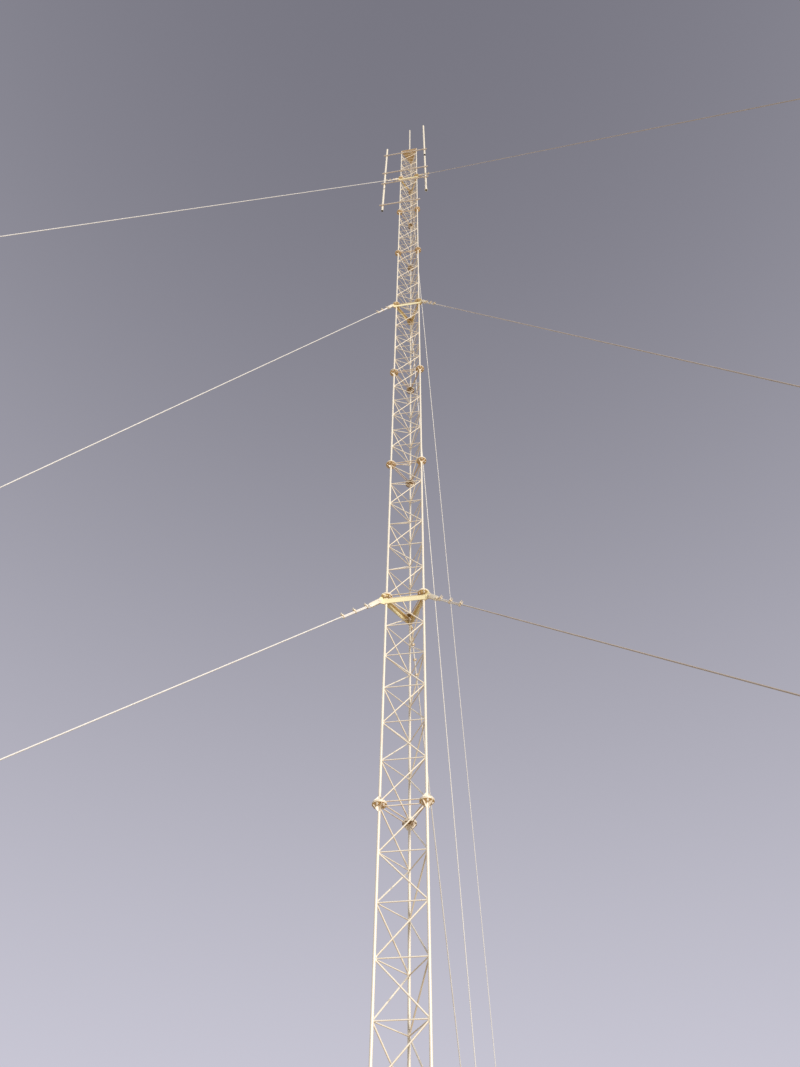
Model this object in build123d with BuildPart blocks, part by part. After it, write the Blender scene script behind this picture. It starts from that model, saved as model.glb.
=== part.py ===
from build123d import *
import os
from math import cos, radians, sin, sqrt, tan

os.makedirs("parts", exist_ok=True)

# A guyed lattice mast for wind measurement: ten bolted three-legged sections, three stay rings
# with nine wire stays, and two side poles and a top pole that carry instruments.
# Millimetres, +Z up. The origin is the centre of the base plate's underside.
# The long slender members are drawn with few sides, of about the real ones' area.

# Legs, evenly spaced about the mast's axis and named the way that the angles grow
LEG_NAMES = ("left", "right", "rear")
FIRST_DIRECTION = 210.0  # from the mast's axis to the first leg, in degrees

# Lattice sections
LEG_SPACING = 500.0  # between leg centres, along one face
LEG_FLATS = 28.5  # across the flats of a six-sided leg
SECTION_H = 3000.0
SECTION_COUNT = 10
BAYS = 6
BRACE_R = 7.0  # from the middle of a three-sided brace to its corner
END_BRACE = 26.0  # from the end of a section to its outermost horizontal
TURNED_SECTIONS = (1, 3, 4, 6, 8, 9, 10)  # counted from the ground, fitted the other way up

# Bolted joints between sections
FLANGE_R = 80.0
FLANGE_SIDES = 8
FLANGE_T = 12.0
GUSSET_H = 70.0
GUSSET_T = 6.0
GUSSET_MARGIN = 5.0  # from a gusset's end to the flange's rim
GUSSET_TURNS = (0.0, 90.0, -90.0)  # about the leg, from the outward direction

# Base plate
BASE_SIDE_R = 245.0  # from the axis to the middle of a side
BASE_CLIP_R = 460.0  # from the axis to the cut across a corner
BASE_T = 20.0
BASE_BOLT_PCD = 820.0
BASE_BOLT_HOLE_D = 27.0

# Top plate and top pole
TOP_PLATE_T = 10.0
TOP_PLATE_MARGIN = 8.0  # beyond the legs
TOP_POLE_D = 42.0
TOP_POLE_L = 3150.0
TOP_FOOT_W = 120.0
TOP_FOOT_T = 10.0

# Stay rings: angles close round the legs, hung from plates under the flanges of three sections
RING_H = 80.0
RING_W = 40.0  # of the angles' level flange, which points inward
RING_T = 6.0
RING_GAP = 0.5  # between the ring and the legs
RING_UNDER_BAR = 21.0  # from a section's last level bar down to the ring
RING_BRACE_GAP = 5.0  # between the level flange's ends and the sloping bars
CORNER_T = 12.0
CORNER_W = 110.0
CORNER_BACK = 5.0  # from a leg's centre back to the corner plate's end
CORNER_REACH = 80.0  # from a leg's centre to the outer end of the corner plate
LUG_REACH = 100.0  # from a leg's centre to the stay's pin
LUG_W = 63.0
LUG_T = 12.0
LUG_CLIP = 18.0
LUG_SINK = 18.0  # from the middle of the ring's height down to the pin

# Stays: the section whose top holds them, and the ground anchor that they run to
STAY_LEVELS = {"lower": (3, "inner"), "middle": (6, "inner"), "upper": (9, "outer")}
WIRE_R = 8.8  # from the middle of a six-sided wire to its corner
HEAD_R = 33.0  # from the pin to the sides of the fork at a stay's head
HEAD_L = 170.0  # from the pin to its neck
FORK_R = 28.0  # the same sizes of a turnbuckle's fork
FORK_L = 95.0
FORK_NECK = 13.0  # half the neck's width
FORK_T = 30.0
FORK_SLOT_L = 40.0  # from the pin to the bottom of the slot
FORK_GAP = 0.5  # between a lug and each cheek

# Turnbuckles
TURNBUCKLE_L = 700.0  # from its pin to the end of the wire
BARREL_L = 320.0
BARREL_W = 56.0
BARREL_WINDOW_L = 240.0
BARREL_WINDOW_W = 26.0
SCREW_W = 18.0

# Ground anchors
ANCHOR_R = {"inner": 10000.0, "outer": 16500.0}  # from the mast's axis to the first pin
ANCHOR_PINS = {"inner": 2, "outer": 1}
ANCHOR_PIN_H = 150.0
ANCHOR_PIN_PITCH = 140.0
ANCHOR_PLATE_L = 500.0
ANCHOR_PLATE_W = 300.0
ANCHOR_PLATE_T = 20.0
ANCHOR_LUG_MARGIN = 22.5  # beyond the outer pins
ANCHOR_LUG_FOOT = 330.0

# Side poles
POLE_D = 60.0
POLE_WALL = 4.0
LEFT_STANDOFF = 512.0  # from the centre of the leg beside it
RIGHT_STANDOFF = 270.0
LEFT_POLE_RISE = 880.0  # above its top arm
LEFT_POLE_DROP = 350.0  # below its lowest arm
RIGHT_POLE_RISE = 3180.0
RIGHT_POLE_DROP = 1130.0
RIGHT_UPPER_DROP = 490.0  # of the upper pipe, below the top arm
RIGHT_POLE_OPENING = 200.0  # between the two pipes
COLLAR_D = 78.0
COLLAR_H = 70.0

# Cross-arms that hold the side poles, each in the middle of a bay: section and bay, counted from below
ARM_BAYS = ((9, 2), (9, 6), (10, 2), (10, 6))
LEFT_ONLY_ARMS = 1  # how many of the lowest ones hold the left pole alone
ARM_W = 25.0
ARM_H = 30.0
ARM_OVERHANG = 60.0  # beyond a pole
SADDLE_L = 64.0
SADDLE_DEPTH = 14.0
SADDLE_SLOPE = 30.0  # of a saddle's notch, to the arm, in degrees
SADDLE_GAP = 0.3

# Worked out from the above
UP = Vector(0, 0, 1)
LEG_COUNT = len(LEG_NAMES)
LEG_ANGLES = [FIRST_DIRECTION + leg * 360 / LEG_COUNT for leg in range(LEG_COUNT)]
LEG_CORNER_R = LEG_FLATS / sqrt(3)  # from a leg's centre to its corners
LEG_R = LEG_SPACING / sqrt(3)  # from the mast's axis to a leg's centre
FACE_R = LEG_R / 2  # from the mast's axis to the middle of a face
BAY_H = (SECTION_H - 2 * END_BRACE) / BAYS
MAST_TOP = BASE_T + SECTION_COUNT * SECTION_H
RING_INNER_R = FACE_R + LEG_CORNER_R + RING_GAP  # from the mast's axis to the ring's angles
PLATE_DROP = FLANGE_T + CORNER_T  # from a section joint to the underside of a corner plate
RING_DROP = END_BRACE + BRACE_R + RING_UNDER_BAR  # from a section joint to the top of the angles
PIN_DROP = RING_DROP + RING_H / 2 + LUG_SINK
RING_NOTCH = (RING_DROP + RING_T - END_BRACE) * LEG_SPACING / BAY_H + 2 * BRACE_R + RING_BRACE_GAP


def export(part, name):
    """Label one finished piece and write it."""
    part.label = name
    export_step(part, f"parts/{name}.step")


def direction(degrees):
    """The level direction at an angle about the mast's axis."""
    return Vector(cos(radians(degrees)), sin(radians(degrees)), 0)


def leg_centre(leg, height=0.0):
    """A point on a leg's axis. Legs are counted the way that the angles grow."""
    return direction(LEG_ANGLES[leg % LEG_COUNT]) * LEG_R + UP * height


def joint_height(section):
    """The height of a section's upper end."""
    return BASE_T + section * SECTION_H


def bay_middle(section, bay):
    """The height of the middle of one bay."""
    return joint_height(section - 1) + END_BRACE + (bay - 0.5) * BAY_H


def upright_plane(origin, outward):
    """A plane that stands upright: x runs outward and y runs up."""
    return Plane(origin=origin, x_dir=outward, z_dir=outward.cross(UP))


def bar_plane(start, end):
    """A plane across the start of a straight bar."""
    run = end - start
    return Plane(origin=start, x_dir=run.cross(UP), z_dir=run)


def mast_triangle(side_r, mode=Mode.ADD):
    """A triangle about the mast's axis with its corners at the legs, by the distance to its sides."""
    return RegularPolygon(side_r, LEG_COUNT, major_radius=False, rotation=FIRST_DIRECTION, mode=mode)


def corner_cut(clip_r):
    """Cut the corners of such a triangle square across, at a distance from the mast's axis."""
    turn = FIRST_DIRECTION + 180 / (2 * LEG_COUNT)
    return RegularPolygon(
        clip_r, 2 * LEG_COUNT, major_radius=False, rotation=turn, mode=Mode.INTERSECT
    )


# Mast sections: legs, end flanges with gussets, and one zigzag on each face


def horizontal_planes():
    """Where the level bars start: one on each face at every bay's end."""
    return [
        bar_plane(leg_centre(face, height), leg_centre(face + 1, height))
        for face in range(LEG_COUNT)
        for height in (END_BRACE + level * BAY_H for level in range(BAYS + 1))
    ]


def diagonal_planes(turned):
    """Where the sloping bars start: one in each bay of a face, from alternate legs."""
    planes = []
    for face in range(LEG_COUNT):
        for bay in range(BAYS):
            low_leg = face + (bay + turned + 1) % 2
            high_leg = face + (bay + turned) % 2
            low = END_BRACE + bay * BAY_H
            planes.append(bar_plane(leg_centre(low_leg, low), leg_centre(high_leg, low + BAY_H)))
    return planes


def gusset_planes(ends):
    """Upright planes through the legs' axes, with y running from a section's end into it."""
    planes = []
    for leg, angle in enumerate(LEG_ANGLES):
        for turn in GUSSET_TURNS:
            outward = direction(angle + turn)
            if "bottom" in ends:
                planes.append(upright_plane(leg_centre(leg), outward))
            if "top" in ends:
                planes.append(Plane(leg_centre(leg, SECTION_H), outward, UP.cross(outward)))
    return planes


def mast_section(turned, flange_ends, gusset_ends):
    """One welded section, standing on the XY plane."""
    flange_base = {"bottom": 0.0, "top": SECTION_H - FLANGE_T}
    with BuildPart() as section:
        with BuildSketch(Plane.XY):
            with PolarLocations(LEG_R, LEG_COUNT, FIRST_DIRECTION):
                RegularPolygon(LEG_FLATS / 2, 6, major_radius=False)
        extrude(amount=SECTION_H)
        with BuildSketch(*[Plane.XY.offset(flange_base[end]) for end in flange_ends]):
            with PolarLocations(LEG_R, LEG_COUNT, FIRST_DIRECTION):
                RegularPolygon(FLANGE_R, FLANGE_SIDES)
        extrude(amount=FLANGE_T)
        with BuildSketch(*horizontal_planes()):
            RegularPolygon(BRACE_R, 3)
        extrude(amount=LEG_SPACING)
        with BuildSketch(*diagonal_planes(turned)):
            RegularPolygon(BRACE_R, 3)
        extrude(amount=sqrt(LEG_SPACING**2 + BAY_H**2))
        with BuildSketch(*gusset_planes(gusset_ends)):
            with BuildLine():
                Polyline(
                    (0, FLANGE_T / 2),
                    (FLANGE_R - GUSSET_MARGIN, FLANGE_T / 2),
                    (FLANGE_R - GUSSET_MARGIN, FLANGE_T),
                    (LEG_FLATS / 2, FLANGE_T + GUSSET_H),
                    (0, FLANGE_T + GUSSET_H),
                    close=True,
                )
            make_face()
        extrude(amount=GUSSET_T / 2, both=True)
    return section.part


ring_sections = [section for section, anchor in STAY_LEVELS.values()]
built_sections = {}
for number in range(1, SECTION_COUNT + 1):
    turned = number in TURNED_SECTIONS
    flange_ends = ("bottom",) if number == SECTION_COUNT else ("bottom", "top")
    gusset_ends = ("bottom",) if number in ring_sections else flange_ends
    form = (turned, flange_ends, gusset_ends)
    if form not in built_sections:
        built_sections[form] = mast_section(*form)
    section_part = built_sections[form].moved(Pos(0, 0, joint_height(number - 1)))
    export(section_part, f"mast_section_{number:02d}")


# Base plate, with a foundation bolt's hole outside each leg

with BuildPart() as base_plate:
    with BuildSketch(Plane.XY):
        mast_triangle(BASE_SIDE_R)
        corner_cut(BASE_CLIP_R)
        with PolarLocations(BASE_BOLT_PCD / 2, LEG_COUNT, FIRST_DIRECTION):
            Circle(BASE_BOLT_HOLE_D / 2, mode=Mode.SUBTRACT)
    extrude(amount=BASE_T)
export(base_plate.part, "base_plate")


# Top plate, and the top pole that stands on it

with BuildPart() as top_plate:
    with BuildSketch(Plane.XY.offset(MAST_TOP)):
        mast_triangle(FACE_R + LEG_CORNER_R + TOP_PLATE_MARGIN)
        corner_cut(LEG_R + LEG_CORNER_R + TOP_PLATE_MARGIN)
    extrude(amount=TOP_PLATE_T)
export(top_plate.part, "top_plate")

with BuildPart() as top_pole:
    with BuildSketch(Plane.XY.offset(MAST_TOP + TOP_PLATE_T)):
        Rectangle(TOP_FOOT_W, TOP_FOOT_W)
    extrude(amount=TOP_FOOT_T)
    with BuildSketch(Plane.XY.offset(MAST_TOP + TOP_PLATE_T)):
        Circle(TOP_POLE_D / 2)
    extrude(amount=TOP_POLE_L)
export(top_pole.part, "top_pole")


# Stay rings: angles round the mast, a bolted corner plate under each flange and a lug for each stay

for level, (section, anchor) in STAY_LEVELS.items():
    joint = joint_height(section)
    with BuildPart() as ring:
        with BuildSketch(Plane.XY.offset(joint - RING_DROP - RING_H)):
            mast_triangle(RING_INNER_R + RING_T)
            mast_triangle(RING_INNER_R, mode=Mode.SUBTRACT)
        extrude(amount=RING_H)
        with BuildSketch(Plane.XY.offset(joint - RING_DROP - RING_T)):
            mast_triangle(RING_INNER_R + RING_T / 2)
            mast_triangle(RING_INNER_R + RING_T - RING_W, mode=Mode.SUBTRACT)
            with PolarLocations(LEG_R, LEG_COUNT, FIRST_DIRECTION):
                RegularPolygon(RING_NOTCH, 6, major_radius=False, mode=Mode.SUBTRACT)
        extrude(amount=RING_T)
        with BuildSketch(Plane.XY.offset(joint - PLATE_DROP)):
            with PolarLocations(LEG_R, LEG_COUNT, FIRST_DIRECTION):
                with Locations(((CORNER_REACH - CORNER_BACK) / 2, 0)):
                    Rectangle(CORNER_REACH + CORNER_BACK, CORNER_W)
                slot_l = CORNER_BACK + LEG_CORNER_R + RING_GAP
                with Locations((slot_l / 2 - CORNER_BACK, 0)):
                    Rectangle(slot_l, LEG_FLATS + 2 * RING_GAP, mode=Mode.SUBTRACT)
        extrude(amount=CORNER_T)
        lug_planes = [
            upright_plane(leg_centre(leg, joint - PIN_DROP), direction(angle))
            for leg, angle in enumerate(LEG_ANGLES)
        ]
        with BuildSketch(*lug_planes):
            half_w = LUG_W / 2
            with BuildLine():
                Polyline(
                    (LEG_CORNER_R + RING_GAP, PIN_DROP - PLATE_DROP),
                    (CORNER_REACH, PIN_DROP - PLATE_DROP),
                    (LUG_REACH + half_w - LUG_CLIP, half_w),
                    (LUG_REACH + half_w, half_w - LUG_CLIP),
                    (LUG_REACH + half_w, LUG_CLIP - half_w),
                    (LUG_REACH + half_w - LUG_CLIP, -half_w),
                    (LEG_CORNER_R + RING_GAP, -half_w),
                    close=True,
                )
            make_face()
        extrude(amount=LUG_T / 2, both=True)
    export(ring.part, f"{level}_stay_ring")


# Stays, turnbuckles and ground anchors, drawn in the XZ plane and turned to their leg


def anchor_pin(level):
    """The pin at the foot of a stay: the middle stays take the outer of an anchor's two pins."""
    anchor = STAY_LEVELS[level][1]
    pitch = ANCHOR_PIN_PITCH if level == "middle" else 0.0
    return Vector(ANCHOR_R[anchor] + pitch, 0, ANCHOR_PIN_H)


def ring_pin(level):
    """The pin at the head of a stay."""
    return Vector(LEG_R + LUG_REACH, 0, joint_height(STAY_LEVELS[level][0]) - PIN_DROP)


def fork(pin, run, half_w, length):
    """A fork whose cheeks lie on each side of a lug, drawn in to a neck."""
    side = Plane(origin=pin, x_dir=run, z_dir=(0, -1, 0))
    with BuildPart() as piece:
        with BuildSketch(side):
            with BuildLine():
                Polyline(
                    (-half_w, half_w / 2),
                    (0, half_w),
                    (length, FORK_NECK),
                    (length, -FORK_NECK),
                    (0, -half_w),
                    (-half_w, -half_w / 2),
                    close=True,
                )
            make_face()
        extrude(amount=FORK_T / 2, both=True)
        with BuildSketch(side):
            with Locations(((FORK_SLOT_L - half_w) / 2, 0)):
                Rectangle(FORK_SLOT_L + half_w, 2 * half_w)
        extrude(amount=LUG_T / 2 + FORK_GAP, both=True, mode=Mode.SUBTRACT)
    return piece.part


def stay(head_pin, foot):
    """A wire from the fork at its head to the turnbuckle at its foot."""
    down = (foot - head_pin).normalized()
    head = fork(head_pin, down, HEAD_R, HEAD_L)
    wire_l = (foot - head_pin).length - HEAD_L
    with BuildPart() as rope:
        add(head)
        with BuildSketch(Plane(origin=head_pin + down * HEAD_L, x_dir=(0, 1, 0), z_dir=down)):
            RegularPolygon(WIRE_R, 6)
        extrude(amount=wire_l)
    return rope.part


def turnbuckle(foot_pin, up_stay):
    """A fork, its screw, the open barrel and the upper screw that takes the wire."""
    foot_fork = fork(foot_pin, up_stay, FORK_R, FORK_L)
    barrel_middle = foot_pin + up_stay * ((FORK_L + TURNBUCKLE_L) / 2)
    screw_l = (TURNBUCKLE_L - FORK_L - BARREL_WINDOW_L) / 2
    with BuildPart() as piece:
        add(foot_fork)
        with BuildSketch(Plane(origin=barrel_middle, x_dir=up_stay, z_dir=(0, -1, 0))):
            Rectangle(BARREL_L, BARREL_W)
            Rectangle(BARREL_WINDOW_L, BARREL_WINDOW_W, mode=Mode.SUBTRACT)
        extrude(amount=FORK_T / 2, both=True)
        with BuildSketch(
            Plane(origin=foot_pin + up_stay * FORK_L, x_dir=(0, 1, 0), z_dir=up_stay),
            Plane(origin=foot_pin + up_stay * TURNBUCKLE_L, x_dir=(0, 1, 0), z_dir=up_stay * -1),
        ):
            Rectangle(SCREW_W, SCREW_W)
        extrude(amount=screw_l)
    return piece.part


def ground_anchor(radius, pins):
    """A plate on the ground, with an upright lug for the forks of its stays."""
    pin_middle = radius + (pins - 1) * ANCHOR_PIN_PITCH / 2
    lug_half = (pins - 1) * ANCHOR_PIN_PITCH / 2 + ANCHOR_LUG_MARGIN
    with BuildPart() as anchor:
        with BuildSketch(Plane.XY):
            with Locations((pin_middle, 0)):
                Rectangle(ANCHOR_PLATE_L, ANCHOR_PLATE_W)
        extrude(amount=ANCHOR_PLATE_T)
        with BuildSketch(Plane.XZ):
            with BuildLine():
                Polyline(
                    (pin_middle - ANCHOR_LUG_FOOT / 2, ANCHOR_PLATE_T),
                    (pin_middle - lug_half, ANCHOR_PIN_H + ANCHOR_LUG_MARGIN),
                    (pin_middle + lug_half, ANCHOR_PIN_H + ANCHOR_LUG_MARGIN),
                    (pin_middle + ANCHOR_LUG_FOOT / 2, ANCHOR_PLATE_T),
                    close=True,
                )
            make_face()
        extrude(amount=LUG_T / 2, both=True)
    return anchor.part


anchors = {kind: ground_anchor(ANCHOR_R[kind], pins) for kind, pins in ANCHOR_PINS.items()}
for side, angle in zip(LEG_NAMES, LEG_ANGLES):
    for kind, anchor in anchors.items():
        export(anchor.rotate(Axis.Z, angle), f"{kind}_anchor_{side}")

for level in STAY_LEVELS:
    foot = anchor_pin(level)
    up_stay = (ring_pin(level) - foot).normalized()
    turnbuckle_part = turnbuckle(foot, up_stay)
    stay_part = stay(ring_pin(level), foot + up_stay * TURNBUCKLE_L)
    for side, angle in zip(LEG_NAMES, LEG_ANGLES):
        export(stay_part.rotate(Axis.Z, angle), f"{level}_stay_{side}")
        export(turnbuckle_part.rotate(Axis.Z, angle), f"{level}_turnbuckle_{side}")


# Side poles: open pipes on each side of the front face, held by cross-arms clamped to its two legs

NOTCH_RISE = tan(radians(SADDLE_SLOPE))
ARM_FACE = LEG_CORNER_R + SADDLE_GAP / cos(radians(SADDLE_SLOPE))  # from the legs' centres
POLE_Y = ARM_FACE - (POLE_D / 2 + SADDLE_GAP) / cos(radians(SADDLE_SLOPE))
LEFT_POLE_X = LEFT_STANDOFF
RIGHT_LEG_X = -LEG_SPACING
RIGHT_POLE_X = RIGHT_LEG_X - RIGHT_STANDOFF


def front_frame(height):
    """A level frame at the left leg's axis: x runs left along the front face, and y away from it."""
    left_leg, right_leg = 0, 1
    leftward = (leg_centre(left_leg) - leg_centre(right_leg)).normalized()
    return Plane(origin=leg_centre(left_leg, height), x_dir=leftward, z_dir=UP)


def pipe(x, low, high, collar=False):
    """An open upright pipe in that frame, with a collar round its foot if it has one."""
    with BuildPart() as tube:
        with BuildSketch(front_frame(low)):
            with Locations((x, POLE_Y)):
                Circle(POLE_D / 2)
                Circle(POLE_D / 2 - POLE_WALL, mode=Mode.SUBTRACT)
        extrude(amount=high - low)
        if collar:
            with BuildSketch(front_frame(low)):
                with Locations((x, POLE_Y)):
                    Circle(COLLAR_D / 2)
                    Circle(POLE_D / 2 - POLE_WALL, mode=Mode.SUBTRACT)
            extrude(amount=COLLAR_H)
    return tube.part


def saddle_outline(centre_x):
    """The points of one saddle: a block on the arm's side with a notch for a round member."""
    half = SADDLE_L / 2
    notch = SADDLE_DEPTH / NOTCH_RISE
    tip = ARM_FACE - SADDLE_DEPTH
    return [
        (centre_x - half, ARM_FACE),
        (centre_x - half, tip),
        (centre_x - notch, tip),
        (centre_x, ARM_FACE),
        (centre_x + notch, tip),
        (centre_x + half, tip),
        (centre_x + half, ARM_FACE),
    ]


def level_arms(heights, right_end, saddles):
    """Level arms across the front face to past the left pole, with saddles from right to left."""
    left_end = LEFT_POLE_X + POLE_D / 2 + ARM_OVERHANG
    outline = [point for x in saddles for point in saddle_outline(x)] + [
        (left_end, ARM_FACE),
        (left_end, ARM_FACE + ARM_W),
        (right_end, ARM_FACE + ARM_W),
        (right_end, ARM_FACE),
    ]
    with BuildPart() as arms:
        with BuildSketch(*[front_frame(height) for height in heights]):
            with BuildLine():
                Polyline(*outline, close=True)
            make_face()
        extrude(amount=ARM_H / 2, both=True)
    return arms.part


arm_heights = [bay_middle(*bay) for bay in ARM_BAYS]
short_arms, long_arms = arm_heights[:LEFT_ONLY_ARMS], arm_heights[LEFT_ONLY_ARMS:]
left_saddles = (RIGHT_LEG_X, 0, LEFT_POLE_X)
export(
    level_arms(short_arms, RIGHT_LEG_X - SADDLE_L / 2 - ARM_OVERHANG, left_saddles), "left_pole_arms"
)
export(
    level_arms(long_arms, RIGHT_POLE_X - POLE_D / 2 - ARM_OVERHANG, (RIGHT_POLE_X, *left_saddles)),
    "right_pole_arms",
)

upper_low = arm_heights[-1] - RIGHT_UPPER_DROP
export(
    pipe(LEFT_POLE_X, arm_heights[0] - LEFT_POLE_DROP, arm_heights[-1] + LEFT_POLE_RISE), "left_pole"
)
export(
    pipe(RIGHT_POLE_X, long_arms[0] - RIGHT_POLE_DROP, upper_low - RIGHT_POLE_OPENING, True),
    "right_pole_lower",
)
export(pipe(RIGHT_POLE_X, upper_low, arm_heights[-1] + RIGHT_POLE_RISE), "right_pole_upper")
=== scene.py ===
"""The looks of a guyed lattice mast for wind measurement, built round its packed construction."""

import math

import bmesh
import bpy
from bpy.props import FloatProperty, FloatVectorProperty, IntProperty, PointerProperty
from mathutils import Matrix, Vector


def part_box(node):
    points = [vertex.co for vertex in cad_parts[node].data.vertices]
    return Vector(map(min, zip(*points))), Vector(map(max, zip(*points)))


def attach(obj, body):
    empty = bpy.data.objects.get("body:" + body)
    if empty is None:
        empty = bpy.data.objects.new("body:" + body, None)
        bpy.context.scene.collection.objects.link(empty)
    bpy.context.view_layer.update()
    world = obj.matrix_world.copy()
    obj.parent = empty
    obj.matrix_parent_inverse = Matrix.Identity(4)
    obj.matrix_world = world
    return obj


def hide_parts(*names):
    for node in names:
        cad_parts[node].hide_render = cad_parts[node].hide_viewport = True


bl_info = {
    "name": "Guyed lattice mast",
    "version": (1, 0, 0),
    "blender": (4, 5, 0),
    "location": "View3D > Sidebar > Mast",
    "description": "Builds the finished steelwork, stays and fittings of a guyed lattice mast",
    "category": "Object",
}

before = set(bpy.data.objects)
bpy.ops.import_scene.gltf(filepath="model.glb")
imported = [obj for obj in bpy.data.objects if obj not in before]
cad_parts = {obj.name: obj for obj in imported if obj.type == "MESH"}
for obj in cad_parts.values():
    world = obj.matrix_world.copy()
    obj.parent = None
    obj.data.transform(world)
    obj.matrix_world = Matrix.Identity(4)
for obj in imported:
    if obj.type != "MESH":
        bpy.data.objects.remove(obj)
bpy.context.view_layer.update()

# The mast's layout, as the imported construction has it. The legs are counted from the left one.
LEG_ANGLES = {"left": 210.0, "right": 330.0, "rear": 90.0}
LEG_TURNS = tuple(LEG_ANGLES.values())
SECTIONS = range(1, 11)
TURNED_SECTIONS = (1, 3, 4, 6, 8, 9, 10)
RING_SECTIONS = {"lower": 3, "middle": 6, "upper": 9}
FOOT_RADII = {"lower": 10.0, "middle": 10.14, "upper": 16.5}
ANCHOR_PINS = {"inner": (10.0, 10.14), "outer": (16.5,)}
ARM_BAYS = ((9, 2), (9, 6), (10, 2), (10, 6))
RIB_PLACES = (-0.1, -0.045, 0.01, 0.065, 0.12)

TURN = 2 * math.pi
# The stage: lamps by where they shine, strength, spread and tint; the camera's yaw, pitch and roll
LAMPS = (
    ("key_light", (-0.56, 0.8, -0.2), 2.95, 0.2, (1.0, 0.97, 0.91)),
    ("overhead_light", (0.35, -0.45, -0.82), 0.5, 0.9, (1.0, 0.98, 0.95)),
)
CAMERA_POINT = (1.208, -7.4, 1.832)
CAMERA_ANGLES = (-10.08, 48.91, 0.99)
LENS = 25.97
FLOOR_RADIUS = 900.0

UP = Vector((0, 0, 1))
ALONG_X = Matrix.Rotation(math.pi / 2, 4, "Y")
ALONG_Y = Matrix.Rotation(-math.pi / 2, 4, "X")
UPRIGHT = Matrix.Rotation(math.pi / 2, 4, "X")
UPSIDE_DOWN = Matrix.Rotation(math.pi, 4, "X")
SMOOTH_ANGLE = math.radians(38)
BEVEL_ANGLE = math.radians(28)
FLAT_ANGLE = math.radians(0.6)
MERGE_GAP = 2e-5

# From the middle plane of a lug to the middle of its welds
LUG_WELD_OUT = 0.0075
# From a stay's middle plane to the outside of the cheeks that a pin passes through
CHEEKS_OUT = 0.0151
# How far along the rope its two parts still draw in towards each other from the loop
DRAWN_IN = 0.06
# How far the modelled strands go on beyond the rope's turned-back end
PAST_TAIL = 0.08
# The strand's crown and the groove between strands, as shares of the rope's radius
CROWN, GROOVE = 1.1, 0.94


def length(name, description, default):
    """A length that the user may change."""
    return FloatProperty(name=name, description=description, default=default, unit="LENGTH")


def colour(name, description, default):
    """A colour that the user may change."""
    limits = {"min": 0.0, "max": 1.0}
    return FloatVectorProperty(
        name=name, description=description, subtype="COLOR", size=3, default=default, **limits
    )


class MastSizes(bpy.types.PropertyGroup):
    """Sizes of the lattice sections and the plates at their ends."""

    leg_spacing: length("Leg spacing", "Between leg centres, along one face", 0.5)
    leg_diameter: length("Leg diameter", "Of a leg's round bar", 0.03)
    level_diameter: length("Level bar", "Diameter of the level bars between the legs", 0.012)
    sloping_diameter: length("Sloping bar", "Diameter of the sloping bars between the legs", 0.016)
    bays: IntProperty(name="Bays", description="In one section", default=6, min=1)
    end_brace: length("End brace", "From a section's end to its outermost level bar", 0.026)
    flange_radius: length("Flange radius", "Of the disc at a leg's end", 0.08)
    flange_thickness: length("Flange thickness", "Of the disc at a leg's end", 0.012)
    gusset_height: length("Gusset height", "Above or below the flange", 0.07)
    gusset_tip: length("Gusset tip", "Upright edge of a gusset at the flange's rim", 0.006)
    gusset_thickness: length("Gusset thickness", "Of the plates that stiffen a flange", 0.006)
    bolt_diameter: length("Flange bolt", "Diameter of a flange's bolts", 0.016)
    bolt_radius: length("Bolt radius", "From a leg's centre to its bolts", 0.056)
    weld: length("Weld", "Leg length of the weld beads", 0.006)
    plate_thickness: length("Plate thickness", "Of the base plate and the anchors' plates", 0.02)
    foundation_bolt: length("Foundation bolt", "Diameter of the base plate's bolts", 0.024)
    foundation_radius: length("Foundation bolt radius", "From the mast's axis to the bolts", 0.41)
    rib_depth: length("Rib depth", "Of the ribs under the top plate", 0.024)
    rib_thickness: length("Rib thickness", "Of the ribs under the top plate", 0.005)


class StaySizes(bpy.types.PropertyGroup):
    """Sizes of the wire stays, their fittings and the ground anchors."""

    rope_diameter: length("Rope diameter", "Of the stranded wire", 0.016)
    lay: length("Lay", "Length in which a strand goes once round", 0.11)
    loop_radius: length("Loop radius", "Of the rope's centre line round a thimble", 0.027)
    thimble_reach: length("Thimble reach", "From the ring's pin to the thimble", 0.16)
    tail: length("Tail", "From the thimble to the end of the turned-back rope", 0.502)
    clips: IntProperty(name="Clips", description="On each end of a stay", default=3, min=1)
    first_clip: length("First clip", "From a thimble to the clip next to it", 0.07)
    clip_pitch: length("Clip pitch", "Between the rope clips", 0.205)
    pin_reach: length("Pin reach", "From a leg's centre to the ring's pin", 0.1)
    pin_drop: length("Pin drop", "From the section joint to the ring's pin", 0.112)
    ring_pin: length("Ring pin", "Diameter of the pin that joins a stay to its ring", 0.02)
    thimble_pin: length("Thimble pin", "Diameter of the pin that holds a thimble", 0.016)
    anchor_height: length("Anchor pin height", "Above the ground", 0.15)
    anchor_bolt: length("Anchor bolt", "Diameter of the bolts in an anchor's plate", 0.02)
    eye_reach: length("Eye reach", "From the anchor's pin to the turnbuckle's eye", 0.65)
    barrel_middle: length("Barrel middle", "From the anchor's pin to the barrel's middle", 0.3975)
    barrel_length: length("Barrel length", "Of the turnbuckle's open barrel", 0.32)
    screw_diameter: length("Screw diameter", "Of the turnbuckle's screws", 0.019)


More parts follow.
